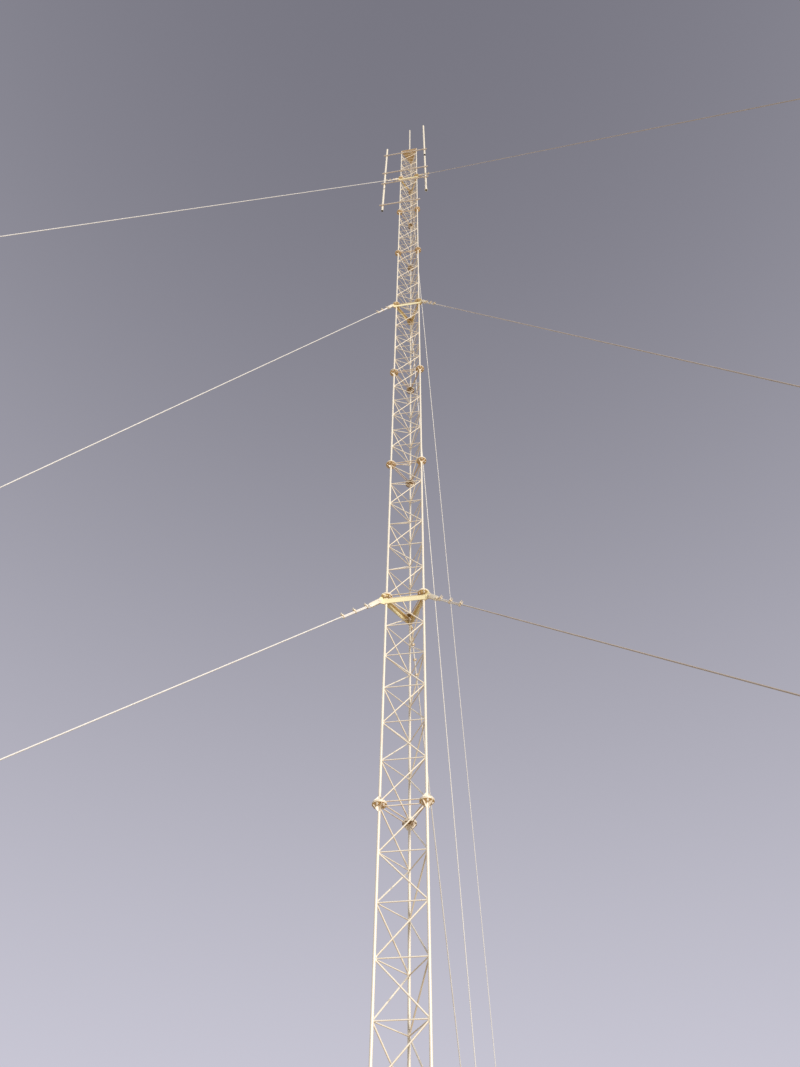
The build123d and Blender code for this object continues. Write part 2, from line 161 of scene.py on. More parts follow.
class PoleSizes(bpy.types.PropertyGroup):
    """Sizes of the side poles, their arms and the top pole."""

    pole_diameter: length("Side pole diameter", "Outside of the pipe", 0.06)
    pole_wall: length("Wall", "Of the side poles", 0.004)
    left_standoff: length("Left standoff", "From the left leg's centre to its pole", 0.512)
    right_standoff: length("Right standoff", "From the right leg's centre to its pole", 0.27)
    u_bolt: length("U-bolt", "Diameter of its bar", 0.01)
    collar_diameter: length("Collar diameter", "Of the collar round the right pole's foot", 0.078)
    collar_height: length("Collar height", "Of the collar round the right pole's foot", 0.07)
    top_pole_diameter: length("Top pole diameter", "Outside of the top pole", 0.042)
    foot_width: length("Foot width", "Of the top pole's square foot", 0.12)
    foot_thickness: length("Foot thickness", "Of the top pole's square foot", 0.01)
    foot_bolt: length("Foot bolt", "Diameter of the bolts through the top pole's foot", 0.012)


class Finishes(bpy.types.PropertyGroup):
    """Colours of the weathered steel and of the stage."""

    cream: colour("Cream", "Sunlit zinc of the mast", (0.97, 0.89, 0.77))
    # Beige is also painted shade on the undersides
    beige: colour("Beige", "Dust and ageing on the zinc", (0.66, 0.50, 0.36))
    yellow: colour("Yellow", "Passivated zinc of the stay rings", (0.97, 0.88, 0.57))
    # Pale zinc made near white, partly a painted highlight for the glint of the sunlit stays
    wire: colour("Wire", "Stranded zinc-coated wire", (0.99, 0.95, 0.92))
    # Painted shade: the grey-brown of the stays on the right, which are seen from their unlit side
    shaded_wire: colour("Lee wire", "Wire gone grey-brown on the lee side", (0.36, 0.24, 0.17))
    fitting: colour("Fitting", "Zinc on forged fittings", (0.90, 0.82, 0.70))
    plate: colour("Plate", "Mill-dark steel of the ground plates", (0.36, 0.29, 0.22))
    arm: colour("Arm", "Dull zinc of the arms", (0.84, 0.74, 0.66))
    rust: colour("Rust", "Fresh orange-brown rust", (0.42, 0.17, 0.045))
    old_rust: colour("Old rust", "Dark brown rust", (0.12, 0.052, 0.022))
    # Painted warm shade: light thrown up from the ground onto undersides, and the shade on the rear
    # side
    painted_warm_shade: colour("Golden", "Chromate on undersides and rear fittings", (0.74, 0.50, 0.22))
    # Mostly painted shade: the near-black inside the pipes' open ends, over the bare steel's own
    # darker tone
    bore_shade: colour("Bore", "Uncoated steel inside the pipes", (0.035, 0.022, 0.014))
    backdrop_low: colour("Lower backdrop", "What stands behind it, low down", (0.59, 0.58, 0.67))
    backdrop_high: colour("Upper backdrop", "The same, overhead", (0.185, 0.182, 0.22))
    floor: colour("Floor", "The floor under the mast", (0.97, 0.95, 0.92))
    ground_light: colour("Ground light", "What the floor throws up at the mast", (0.78, 0.68, 0.50))


# Shader maths


class Value:
    """A shader socket that takes part in Python expressions."""

    def __init__(self, shader, socket):
        self.shader = shader
        self.socket = socket

    def math(self, operation, first, second=0.0):
        return self.shader.node("ShaderNodeMath", {"operation": operation}, {0: first, 1: second})

    def __add__(self, other):
        return self.math("ADD", self, other)

    __radd__ = __add__

    def __mul__(self, other):
        return self.math("MULTIPLY", self, other)

    __rmul__ = __mul__

    def __sub__(self, other):
        return self.math("SUBTRACT", self, other)

    def __rsub__(self, other):
        return self.math("SUBTRACT", other, self)

    def __pow__(self, other):
        return self.math("POWER", self, other)

    def step(self, low, high):
        """0 below low, 1 above high, and smooth between."""
        return self.shader.node(
            "ShaderNodeMapRange",
            {"interpolation_type": "SMOOTHSTEP"},
            {"Value": self, "From Min": low, "From Max": high},
        )


class Shader:
    """The nodes of a material or of the world, called owner."""

    def __init__(self, owner):
        owner.use_nodes = True
        self.owner = owner
        self.nodes = owner.node_tree.nodes
        self.links = owner.node_tree.links
        self.surface = self.nodes.get("Principled BSDF")

    def node(self, kind, settings, inputs, output=0):
        """Any node: its settings, then the values or links of its inputs."""
        made = self.nodes.new(kind)
        for key, value in settings.items():
            setattr(made, key, value)
        for key, value in inputs.items():
            self.feed(made.inputs[key], value)
        return Value(self, made.outputs[output])

    def feed(self, socket, value):
        """Link a value to a socket, or write a number or colour into it."""
        if isinstance(value, Value):
            self.links.new(value.socket, socket)
        elif hasattr(value, "__len__") and len(value) == 3 and socket.type == "RGBA":
            socket.default_value = (*value, 1.0)
        else:
            socket.default_value = value

    def set(self, **inputs):
        """Feed the surface's own sockets, named with _ for a space."""
        for key, value in inputs.items():
            self.feed(self.surface.inputs[key.replace("_", " ")], value)

    def coordinates(self):
        return self.node("ShaderNodeTexCoord", {}, {}, "Object")

    def stretched(self, vector, scale):
        return self.node("ShaderNodeVectorMath", {"operation": "MULTIPLY"}, {0: vector, 1: scale})

    def noise(self, vector, scale, detail=3.0, roughness=0.55):
        return self.node(
            "ShaderNodeTexNoise",
            {},
            {"Vector": vector, "Scale": scale, "Detail": detail, "Roughness": roughness},
        )

    def part(self, vector, axis):
        """The X, Y or Z of a vector, by the axis's number."""
        return self.node("ShaderNodeSeparateXYZ", {}, {0: vector}, axis)

    def mix(self, factor, first, second):
        """From the first colour to the second."""
        return self.node(
            "ShaderNodeMix",
            {"data_type": "RGBA", "clamp_factor": True},
            {0: factor, 6: first, 7: second},
            2,
        )

    def seen(self):
        """1 where the camera looks, straight or by metal or glass, 0 for the light's own paths."""
        shown = 0.0
        for ray in ("Is Camera Ray", "Is Glossy Ray", "Is Transmission Ray"):
            kind = self.node("ShaderNodeLightPath", {}, {}, ray)
            shown = kind.math("MAXIMUM", kind, shown)
        return shown

    def facing_down(self):
        """1 on a surface that faces the ground, 0 on one that is upright or faces the sky."""
        normal = self.node("ShaderNodeNewGeometry", {}, {}, "Normal")
        return (0.0 - self.part(normal, 2)).step(0.15, 0.85)

    def bump(self, height, distance, strength=0.6):
        return self.node(
            "ShaderNodeBump", {}, {"Height": height, "Distance": distance, "Strength": strength}
        )


def weathered(
    name, looks, clean, dust, rusting, under=0.35, joints=0.0, metal=0.12, gloss=0.48, painted_warm_shade=0.0
):
    """Zinc-coated steel gone from its clean colour to dust, and rusty in runs, with painted shade
    as dust and rust on its undersides.

    Rusting is how far all of it has rusted, under how much more rust its undersides have, which is
    partly painted shade, and joints how much more it has round the section joints, with painted
    shade under the discs. The last argument sets
    the painted warm shade: light thrown up from the ground, painted on undersides and at the rear.
    """
    shader = Shader(bpy.data.materials.new(name))
    place = shader.coordinates()
    mottle = shader.noise(place, 2.3, 4.0)
    patches = shader.noise(place, 17.0, 5.0, 0.62)
    grain = shader.noise(place, 260.0, 2.0)
    runs = shader.noise(shader.stretched(place, (46, 46, 1.7)), 1.0, 3.0)
    down = shader.facing_down()
    rearward = shader.part(place, 1).step(0.1, 0.25)
    # The sections meet every 3 m above the base plate
    height = shader.part(place, 2) - 0.02
    to_joint = shader.node("ShaderNodeMath", {"operation": "PINGPONG"}, {0: height, 1: 1.5})
    near_joint = 1.0 - to_joint.step(0.03, 0.3)
    under_disc = (1.0 - to_joint.step(0.02, 0.03)) * down
    bore_shade = shader.node("ShaderNodeAttribute", {"attribute_name": "bore_shade"}, {}, "Fac")

    # Random dust, plus painted shade as beige on the surfaces that face down
    dust_and_shade = (mottle * 0.7 + patches * 0.5 + down * 0.3).step(0.55, 1.2)
    # Rust round the joints; the extra under the discs is painted shade
    at_joint = near_joint * joints + under_disc * joints * 0.6
    # down * under is painted shade on the undersides, drawn as rust; the rest is real rust
    rust = patches * 0.55 + runs * 0.4 + down * under + at_joint + rusting
    light_rust = rust.step(0.62, 0.92)
    deep_rust = (rust + (grain - 0.5) * 0.2).step(0.92, 1.22)
    specks = (grain - 0.5).step(0.0, 0.4)
    # Where the painted warm shade goes: undersides, under the discs at the joints, and the rear
    # side
    warm_shade_mask = under_disc * 0.7 + down * 0.3 if joints else down + rearward * 0.55

    base = shader.mix(dust_and_shade * 0.75, clean, dust)
    base = shader.mix(light_rust * 0.72, base, looks.rust)
    base = shader.mix(deep_rust * 0.85, base, looks.old_rust)
    base = shader.mix(specks * 0.12, base, looks.old_rust)
    base = shader.mix(warm_shade_mask * painted_warm_shade, base, looks.painted_warm_shade)
    # Painted shade under the rear leg's discs, in the dark rust colour
    base = shader.mix(under_disc * rearward * joints * 3.0, base, looks.old_rust)
    # Painted shade inside the pipes, near black
    base = shader.mix(bore_shade * 0.9, base, looks.bore_shade)

    shader.set(
        Base_Color=base,
        Roughness=gloss + light_rust * 0.3 + (patches - 0.5) * 0.15,
        Metallic=metal - light_rust * metal,
        Normal=shader.bump(grain * 0.5 + patches * 0.8 + deep_rust * 0.8, 0.0012, 0.55),
    )
    return shader.owner


def stranded(name, looks, strands=6):
    """Wire rope: strands laid round it, dark between them, and painted shade on the stays on the
    right side.
    """
    shader = Shader(bpy.data.materials.new(name))
    lay = shader.node("ShaderNodeAttribute", {"attribute_name": "lay"}, {}, "Vector")
    around = shader.node(
        "ShaderNodeMath",
        {"operation": "ARCTAN2"},
        {0: shader.part(lay, 1), 1: shader.part(lay, 0)},
    )
    phase = around * (strands / TURN) + shader.part(lay, 2) * float(strands)
    across = shader.node("ShaderNodeMath", {"operation": "FRACT"}, {0: phase})
    crown = 1.0 - (across * 2.0 - 1.0) ** 2.0
    wires = shader.node("ShaderNodeMath", {"operation": "SINE"}, {0: across * (TURN * 4)})
    place = shader.coordinates()
    patches = shader.noise(place, 9.0, 4.0)
    grain = shader.noise(place, 300.0, 2.0)
    down = shader.facing_down()
    # Random dust and rust, plus painted shade as dust and rust on the undersides
    dust_and_shade = (patches + down * 0.4).step(0.5, 1.0)
    rust = (patches * 0.8 + down * 0.25 + grain * 0.2).step(0.62, 1.0)
    # Painted shade on the stays on the right (X above 0.3 m), seen from their unlit side
    shaded = shader.part(place, 0).step(0.3, 1.2)
    grooves = (1.0 - crown).step(0.65, 1.0)

    base = shader.mix(dust_and_shade * 0.15, looks.wire, looks.beige)
    base = shader.mix(rust * 0.2, base, looks.rust)
    base = shader.mix(shaded * 0.6, base, looks.shaded_wire)
    base = shader.mix(grooves * 0.25, base, looks.old_rust)
    shader.set(
        Base_Color=base,
        Roughness=0.42 + rust * 0.3,
        Metallic=0.08 - rust * 0.08,
        Normal=shader.bump(crown + wires * 0.12, 0.002, 0.7),
    )
    return shader.owner


def floor_paint(seen_shade, bounced_shade):
    """A pale floor with the faintest cloud in it, which throws a warmer light than it shows."""
    shader = Shader(bpy.data.materials.new("floor_paint"))
    cloud = shader.noise(shader.coordinates(), 0.12, 2.0)
    pale = shader.mix(cloud, seen_shade, [part * 0.965 for part in seen_shade])
    shader.set(Base_Color=shader.mix(shader.seen(), bounced_shade, pale), Roughness=0.9)
    return shader.owner


def backdrop(world, looks):
    """A plain grey, darker overhead, for the camera, and a faint even fill for the mast."""
    shader = Shader(world)
    toward = shader.node("ShaderNodeTexCoord", {}, {}, "Generated")
    height = shader.part(toward, 2)
    span = {"Value": height, "From Min": 0.2, "From Max": 1.0}
    climb = shader.node("ShaderNodeMapRange", {}, span)
    shade = shader.mix(climb, looks.backdrop_low, looks.backdrop_high)
    fill = shader.node("ShaderNodeBackground", {}, {"Color": (0.97, 0.97, 1.0), "Strength": 0.25})
    behind = shader.node("ShaderNodeBackground", {}, {"Color": shade, "Strength": 1.0})
    both = shader.node("ShaderNodeMixShader", {}, {0: shader.seen(), 1: fill, 2: behind})
    shader.links.new(both.socket, shader.nodes["World Output"].inputs["Surface"])


finishes = {}


def make_finishes(looks):
    """All the materials, once."""
    cream, beige, yellow, forged = looks.cream, looks.beige, looks.yellow, looks.fitting
    # Under sets rust on the undersides that is partly painted shade
    corroded = {"under": 0.4, "metal": 0.1, "gloss": 0.62}
    forging = {"under": 0.25, "gloss": 0.42, "painted_warm_shade": 0.7}
    # The warm amounts below set how much painted warm shade each finish gets on its undersides and
    # at the rear
    for finish, name, clean, dust, rusting, more in (
        ("mast", "mast_zinc", cream, beige, -0.07, {"under": 0.2, "joints": 0.2, "painted_warm_shade": 0.9}),
        ("ring", "ring_zinc", yellow, beige, 0.0, {"under": 0.2, "painted_warm_shade": 0.65}),
        ("pole", "pole_zinc", cream, yellow, -0.12, {"under": 0.3}),
        ("arm", "arm_zinc", looks.arm, beige, -0.08, {"under": 0.1}),
        ("plate", "plate_steel", looks.plate, beige, 0.2, corroded),
        ("top", "top_plate_steel", cream, yellow, 0.0, {"painted_warm_shade": 0.6}),
        ("fitting", "fitting_zinc", forged, yellow, -0.05, forging),
        ("bolt", "bolt_zinc", forged, beige, 0.06, {"under": 0.3, "metal": 0.15, "gloss": 0.42}),
    ):
        finishes[finish] = weathered(name, looks, clean, dust, rusting, **more)
    finishes["rope"] = stranded("stay_wire", looks)


# Shapes


def axes(origin, x_axis, z_axis):
    """A frame at a point, with its X and Z along two square directions."""
    x_axis, z_axis = x_axis.normalized(), z_axis.normalized()
    y_axis = z_axis.cross(x_axis)
    return Matrix.Translation(origin) @ Matrix((x_axis, y_axis, z_axis)).transposed().to_4x4()


def turned(degrees):
    return Matrix.Rotation(math.radians(degrees), 4, "Z")


def shift(x=0.0, y=0.0, z=0.0):
    return Matrix.Translation((x, y, z))


def edges_at(verts):
    """The edges that meet the vertices, in an order that is the same on each run."""
    return list(dict.fromkeys(edge for vert in verts for edge in vert.link_edges))


def cap_edges(verts):
    """The edges round the flat ends of a prism that was just made."""
    edges = edges_at(verts)
    return [edge for edge in edges if any(len(face.verts) > 4 for face in edge.link_faces)]


def ring_in(made):
    """The ring of corners in what an operator made, and the edges between them."""
    verts = [item for item in made if isinstance(item, bmesh.types.BMVert)]
    ring = set(verts)
    edges = [item for item in made if isinstance(item, bmesh.types.BMEdge)]
    return verts, [edge for edge in edges if all(vert in ring for vert in edge.verts)]


def bevel(bm, edges, width, segments=1):
    bmesh.ops.bevel(
        bm,
        geom=edges,
        offset=width,
        offset_type="OFFSET",
        affect="EDGES",
        segments=segments,
        profile=0.5,
        material=-1,
        clamp_overlap=True,
    )


def drum(bm, matrix, low, high, radius, top_radius=None, sides=16, edge=0.0):
    """A round piece on the frame's Z axis, from one height to another."""
    made = bmesh.ops.create_cone(
        bm,
        cap_ends=True,
        segments=sides,
        radius1=radius,
        radius2=radius if top_radius is None else top_radius,
        depth=high - low,
        matrix=matrix @ shift(z=(low + high) / 2),
    )
    if edge:
        bevel(bm, cap_edges(made["verts"]), edge)


def rod(bm, start, end, radius, sides=10, end_radius=None):
    """A round bar between two points."""
    run = end - start
    matrix = Matrix.LocRotScale(start, run.to_track_quat("Z", "X"), None)
    drum(bm, matrix, 0.0, run.length, radius, end_radius, sides)


def slab(bm, matrix, outline, thickness, edge=0.0008, segments=1):
    """A flat piece with an outline in the frame's XY plane, as thick above it as below."""
    low = [bm.verts.new(matrix @ Vector((x, y, -thickness / 2))) for x, y in outline]
    made = bmesh.ops.extrude_face_region(bm, geom=[bm.faces.new(low)])["geom"]
    high = [item for item in made if isinstance(item, bmesh.types.BMVert)]
    bmesh.ops.translate(bm, vec=matrix.to_3x3() @ Vector((0, 0, thickness)), verts=high)
    if edge:
        bevel(bm, edges_at(low + high), edge, segments)


def corners(x, y):
    """The four corners of a rectangle, by its half sizes."""
    return (-x, -y), (-x, y), (x, -y), (x, y)


def box_outline(along, across):
    return [(x * along / 2, y * across / 2) for x, y in ((-1, -1), (1, -1), (1, 1), (-1, 1))]


def link_outline(first, first_r, second, second_r, steps=7):
    """The outline of a link: two round ends, joined straight."""
    points = []
    for centre, radius, start in ((first, first_r, 90), (second, second_r, -90)):
        for step in range(steps):
            angle = math.radians(start + 180 * step / (steps - 1))
            x, y = radius * math.cos(angle), radius * math.sin(angle)
            points.append((centre[0] + x, centre[1] + y))
    return points


def hexagon(bm, matrix, low, high, across):
    """A nut or a bolt's head, by its width across the flats."""
    drum(bm, matrix, low, high, across / math.sqrt(3), sides=6, edge=across * 0.05)


def bead(bm, matrix, run, leg, edge=0.0015):
    """A straight weld along the frame's X, in the corner of a level plate and an upright one."""
    slab(bm, matrix @ Matrix.Rotation(math.pi / 4, 4, "X"), box_outline(run, leg), leg, edge)


def nut_on_washer(bm, matrix, size, height, washer=1.0):
    """A washer and a nut or head, in shares of the bolt's diameter, on the frame's XY plane."""
    washer_t = size * 0.18
    drum(bm, matrix, 0.0, washer_t, size * washer, sides=12)
    hexagon(bm, matrix, washer_t, washer_t + size * height, size * 1.5)


def nut_on_stud(bm, matrix, size, stud=1.6, washer=1.0):
    """A washer, a nut and the end of its stud, standing on the frame's XY plane."""
    nut_on_washer(bm, matrix, size, 0.8, washer)
    drum(bm, matrix, 0.0, size * stud, size / 2, sides=8, edge=size * 0.06)


def bolt(bm, matrix, size, grip):
    """A hexagon bolt: its head stands on the frame's XY plane, its nut below what it grips."""
    nut_on_washer(bm, matrix, size, 0.65)
    nut_on_stud(bm, matrix @ shift(z=-grip) @ UPSIDE_DOWN, size)


def headed_pin(bm, matrix, size, low, high, head_low, head_r, nut_t):
    """A pin on the frame's Z axis through two cheeks, with its head below and its nut above."""
    drum(bm, matrix, low, high, size / 2, sides=14, edge=0.001)
    drum(bm, matrix, head_low, -CHEEKS_OUT, head_r, sides=14, edge=0.001)
    hexagon(bm, matrix, CHEEKS_OUT, CHEEKS_OUT + nut_t, size * 1.45)


class Bar:
    """A bar drawn along a path: runs are extruded, and bends and laid strands are spun."""

    def __init__(self, bm, start, toward, radius, sides=10, open_start=False):
        self.bm = bm
        self.along = 0.0
        layers = bm.verts.layers.float_vector
        self.lay = layers.get("lay") or layers.new("lay")
        matrix = Matrix.LocRotScale(start, toward.to_track_quat("Z", "X"), None)
        made = bmesh.ops.create_circle(
            bm, cap_ends=not open_start, segments=sides, radius=radius, matrix=matrix
        )
        self.verts = made["verts"]
        self.edges = edges_at(self.verts)
        for index, vert in enumerate(self.verts):
            angle = TURN * index / sides
            vert[self.lay] = (math.cos(angle), math.sin(angle), 0.0)

    def take(self, made):
        """Go on from the ring that an operator made."""
        self.verts, self.edges = ring_in(made)
        for vert in self.verts:
            vert[self.lay].z = self.along

    def centre(self):
        return sum((vert.co for vert in self.verts), Vector()) / len(self.verts)

    def size(self, radius, groove=None):
        """Set the ring's radius, with every other corner at the groove's."""
        middle = self.centre()
        sides = len(self.verts)
        for vert in self.verts:
            angle = math.atan2(vert[self.lay].y, vert[self.lay].x)
            odd = round(angle / TURN * sides) % 2
            reach = groove if groove is not None and odd else radius
            vert.co = middle + (vert.co - middle).normalized() * reach

    def to(self, point, radius=None, lay=0.0):
        """Run straight to a point. A lay keeps the strands' count where they aren't modelled."""
        step = point - self.centre()
        self.along += step.length / lay if lay else 0.0
        self.take(bmesh.ops.extrude_edge_only(self.bm, edges=self.edges)["geom"])
        bmesh.ops.translate(self.bm, vec=step, verts=self.verts)
        if radius:
            self.size(radius)

    def spin(self, centre, axis, angle, steps, shift_each=(0, 0, 0)):
        made = bmesh.ops.spin(
            self.bm,
            geom=self.verts + self.edges,
            cent=centre,
            axis=axis,
            dvec=shift_each,
            angle=angle,
            steps=steps,
            use_duplicate=False,
        )
        self.take(made["geom_last"])

    def laid(self, point, lay, rings_a_turn=12):
        """Run to a point with the strands twisting round it."""
        step = point - self.centre()
        turns = step.length / lay
        rings = max(1, round(turns * rings_a_turn))
        self.spin(self.centre(), step.normalized(), TURN * turns, rings, step / rings)

    def close(self):
        bmesh.ops.edgeloop_fill(self.bm, edges=self.edges)


def bent_bar(bm, matrix, half_width, stub, radius, steps):
    """A bar bent to a U round the frame's Z axis, on the -Y side, with its ends at y = stub."""

    def at(x, y):
        return matrix @ Vector((x, y, 0))

    bar = Bar(bm, at(half_width, stub), at(half_width, 0) - at(half_width, stub), radius, 8)
    bar.to(at(half_width, 0))
    bar.spin(at(0, 0), matrix.to_3x3() @ UP, -math.pi, steps)
    bar.to(at(-half_width, stub))
    bar.close()


def u_bolt(bm, matrix, half_width, reach, size):
    """A U-bolt: its bend on the -Y side of the frame's Z axis, its nuts on a face at y = reach."""
    bent_bar(bm, matrix, half_width, reach + size * 1.6, size / 2, 10)
    for side in (-1, 1):
        nut_on_stud(bm, matrix @ shift(side * half_width, reach) @ ALONG_Y, size, 0.9)


def threaded(bm, start, end, radius, pitch=0.004):
    """A screwed bar, as ridges along it."""
    run = end - start
    root = radius * 0.86
    ridges = max(1, round(run.length / pitch))
    bar = Bar(bm, start, run, root, 8)
    for ridge in range(ridges):
        bar.to(start + run * ((ridge + 0.5) / ridges), radius)
        bar.to(start + run * ((ridge + 1.0) / ridges), root)
    bar.close()


def eye(bm, matrix, radius, bar_radius, steps=20):
    """A ring about the frame's Z axis."""
    made = bmesh.ops.create_circle(
        bm,
        cap_ends=False,
        segments=10,
        radius=bar_radius,
        matrix=matrix @ shift(radius) @ UPRIGHT,
    )
    bmesh.ops.spin(
        bm,
        geom=made["verts"] + edges_at(made["verts"]),
        cent=matrix.translation,
        axis=matrix.to_3x3() @ UP,
        dvec=(0, 0, 0),
        angle=TURN,
        steps=steps,
        use_merge=True,
        use_duplicate=False,
    )


def pipe(bm, matrix, low, high, outside, inside, sides=32):
    """An open pipe on the frame's Z axis, with its rims rounded and its inner wall marked."""
    # The inner wall is marked for the near-black painted shade inside the pipe
    bore_shade = bm.verts.layers.float.get("bore_shade") or bm.verts.layers.float.new("bore_shade")
    soft = min(0.001, (outside - inside) / 3)
    first = bmesh.ops.create_circle(
        bm, cap_ends=False, segments=sides, radius=outside, matrix=matrix @ shift(z=low + soft)
    )["verts"]
    edges = edges_at(first)
    inverse = matrix.inverted()
    for radius, height in (
        (outside, high - soft),
        (outside - soft, high),
        (inside + soft, high),
        (inside, high - soft),
        (inside, low + soft),
        (inside + soft, low),
        (outside - soft, low),
        (outside, low + soft),
    ):
        last, edges = ring_in(bmesh.ops.extrude_edge_only(bm, edges=edges)["geom"])
        for vert in last:
            local = inverse @ vert.co
            flat = Vector((local.x, local.y)).normalized() * radius
            vert.co = matrix @ Vector((flat.x, flat.y, height))
            vert[bore_shade] = float(radius == inside)
    bmesh.ops.remove_doubles(bm, verts=first + last, dist=MERGE_GAP)


def node_shape(name, edge=0.0012, segments=2):
    """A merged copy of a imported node's mesh with its sharp edges a little rounded."""
    bm = bmesh.new()
    bm.from_mesh(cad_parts[name].data)
    bmesh.ops.remove_doubles(bm, verts=bm.verts, dist=MERGE_GAP)
    bmesh.ops.dissolve_limit(
        bm, angle_limit=FLAT_ANGLE, verts=bm.verts, edges=bm.edges, use_dissolve_boundaries=False
    )
    sharp = [
        item
        for item in bm.edges
        if len(item.link_faces) == 2 and item.calc_face_angle(0.0) > BEVEL_ANGLE
    ]
    bevel(bm, sharp, edge, segments)
    return bm


def add_piece(bm, name, finish, nodes=(), matrix=None):
    """Make a finished piece of a mesh, in its place, and hide the imported nodes that it stands
    for.
    """
    bmesh.ops.recalc_face_normals(bm, faces=bm.faces)
    for face in bm.faces:
        face.smooth = True
    for item in bm.edges:
        item.smooth = len(item.link_faces) == 2 and item.calc_face_angle(0.0) < SMOOTH_ANGLE
    mesh = bpy.data.meshes.new(name)
    bm.to_mesh(mesh)
    bm.free()
    if matrix is not None:
        mesh.transform(matrix)
    mesh.materials.append(finishes[finish])
    piece = bpy.data.objects.new(name, mesh)
    bpy.context.scene.collection.objects.link(piece)
    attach(piece, "root")
    if nodes:
        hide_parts(*nodes)
    return piece


# Places


def leg_circle(sizes):
    """How far the legs' centres are from the mast's axis."""
    return sizes.leg_spacing / math.sqrt(3)


def leg_place(leg, height, sizes):
    """A frame on a leg's axis, with its X outwards."""
    return turned(LEG_TURNS[leg % 3]) @ shift(leg_circle(sizes), 0, height)


def leg_point(leg, height, sizes):
    angle = math.radians(LEG_TURNS[leg % 3])
    radius = leg_circle(sizes)
    return Vector((radius * math.cos(angle), radius * math.sin(angle), height))


def section_top(number):
    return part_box(f"mast_section_{number:02d}")[1].z


def section_bottom(number):
    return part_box(f"mast_section_{number:02d}")[0].z


def bay_height(sizes):
    """Between the level bars of a section."""
    return (section_top(1) - section_bottom(1) - 2 * sizes.end_brace) / sizes.bays


def rope_gap(stays):
    """Between the centre lines of the rope and its turned-back end."""
    return stays.rope_diameter * 1.05


def clip_places(stays):
    """How far from its thimble each clip sits."""
    return [stays.first_clip + stays.clip_pitch * index for index in range(stays.clips)]


def stay_ends(level, sizes, stays):
    """The pins at a stay's head and foot, in the XZ plane."""
    head_x = leg_circle(sizes) + stays.pin_reach
    head = Vector((head_x, 0, section_top(RING_SECTIONS[level]) - stays.pin_drop))
    return head, Vector((FOOT_RADII[level], 0, stays.anchor_height))


# Pieces


def weld_collar(bm, start, toward, leg_side, brace_r, sizes):
    """The weld where a round brace meets a leg."""
    run = toward.normalized()
    low, high = leg_side - sizes.weld / 2, leg_side + sizes.weld * 1.5
    rod(bm, start + run * low, start + run * high, brace_r * 1.55, 8, brace_r)


def brace_lines(is_turned, sizes):
    """The ends and radius of each bar between the legs. A turned section starts the other way."""
    levels = [sizes.end_brace + bay_height(sizes) * level for level in range(sizes.bays + 1)]
    for face in range(3):
        for level in levels:
            start, end = (leg_point(leg, level, sizes) for leg in (face, face + 1))
            yield start, end, sizes.level_diameter / 2
        for index in range(sizes.bays):
            low = leg_point(face + (index + is_turned + 1) % 2, levels[index], sizes)
            high = leg_point(face + (index + is_turned) % 2, levels[index + 1], sizes)
            yield low, high, sizes.sloping_diameter / 2


def leg_end(bm, end, has_flange, has_gussets, sizes):
    """What is welded to a leg's end, standing on the frame's XY plane."""
    leg_r, thick, rim = sizes.leg_diameter / 2, sizes.flange_thickness, sizes.flange_radius - 0.005
    if has_flange:
        drum(bm, end, 0.0, thick, sizes.flange_radius, sides=32, edge=0.0016)
        drum(bm, end, thick, thick + sizes.weld, leg_r + sizes.weld, leg_r, 20)
    if has_gussets:
        outline = [
            (leg_r - 0.001, thick),
            (rim, thick),
            (rim, thick + sizes.gusset_tip),
            (leg_r + 0.004, thick + sizes.gusset_height),
            (leg_r - 0.001, thick + sizes.gusset_height),
        ]
        for angle in (0, 90, -90):
            slab(bm, end @ turned(angle) @ UPRIGHT, outline, sizes.gusset_thickness)


def section_shape(is_turned, flange_ends, gusset_ends, sizes):
    """One welded section, standing on the XY plane."""
    bm = bmesh.new()
    height = section_top(1) - section_bottom(1)
    leg_r = sizes.leg_diameter / 2
    for start, end, brace_r in brace_lines(is_turned, sizes):
        run = end - start
        # A sloping bar leaves the leg later than a level one
        leg_side = leg_r / (math.hypot(run.x, run.y) / run.length)
        rod(bm, start, end, brace_r)
        weld_collar(bm, start, run, leg_side, brace_r, sizes)
        weld_collar(bm, end, -run, leg_side, brace_r, sizes)
    for leg in range(3):
        foot = Matrix.Translation(leg_point(leg, 0.0, sizes)) @ turned(LEG_TURNS[leg])
        drum(bm, foot, 0.0, height, leg_r, sides=20)
        for side, end in (("bottom", foot), ("top", foot @ shift(z=height) @ UPSIDE_DOWN)):
            leg_end(bm, end, side in flange_ends, side in gusset_ends, sizes)
    return bm


class MAST_OT_sections(bpy.types.Operator):
    """Build the ten welded lattice sections"""

    bl_idname = "mast.sections"
    bl_label = "Lattice sections"

    def execute(self, context):
        sizes = context.scene.mast_sizes
        for number in SECTIONS:
            flange_ends = ("bottom",) if number == SECTIONS[-1] else ("bottom", "top")
            gusset_ends = ("bottom",) if number in RING_SECTIONS.values() else flange_ends
            bm = section_shape(number in TURNED_SECTIONS, flange_ends, gusset_ends, sizes)
            node = f"mast_section_{number:02d}"
            place = shift(z=section_bottom(number))
            add_piece(bm, f"{node}_steel", "mast", (node,), place)
        return {"FINISHED"}


